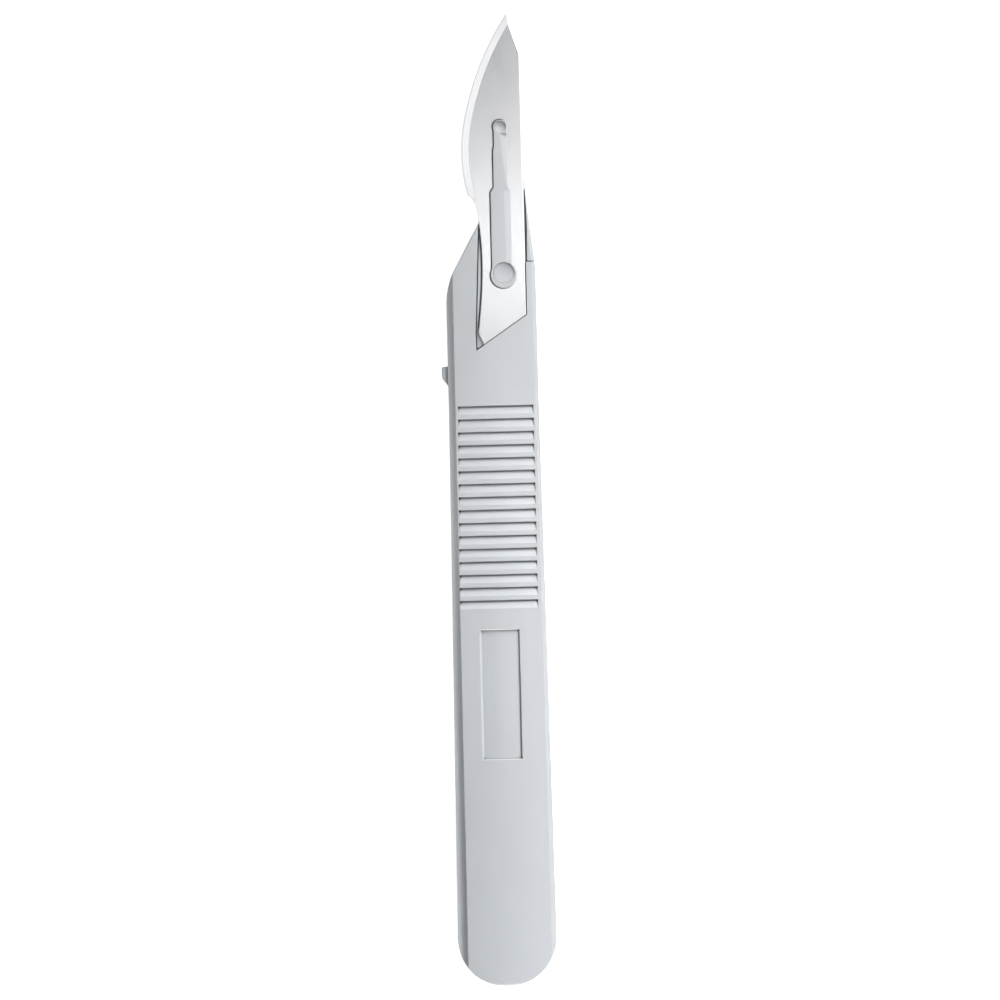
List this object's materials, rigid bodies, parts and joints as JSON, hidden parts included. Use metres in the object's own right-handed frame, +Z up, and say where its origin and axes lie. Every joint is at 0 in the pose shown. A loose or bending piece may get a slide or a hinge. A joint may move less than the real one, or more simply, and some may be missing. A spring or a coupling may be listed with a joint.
{
  "type": "disposable scalpel",
  "caption": "Disposable scalpel: flat moulded plastic handle with grip grooves and a blank recessed panel, carrying a thin ground steel blade on its tapered tongue.",
  "frame": {"origin": "under the middle of the bounding box, in the plane of the handle's flat back", "axes": "+Z up out of the face that carries the blade, +Y along the handle towards the blade's point, +X towards the blade's spine"},
  "size_m": [0.0172, 0.165, 0.0042],
  "materials": {
    "handle_plastic": "fine satin, injection moulded",
    "blade_steel": "ground and polished"
  },
  "bodies": {
    "root": {"handle": "handle_plastic", "blade": "blade_steel"}
  },
  "joints": []
}
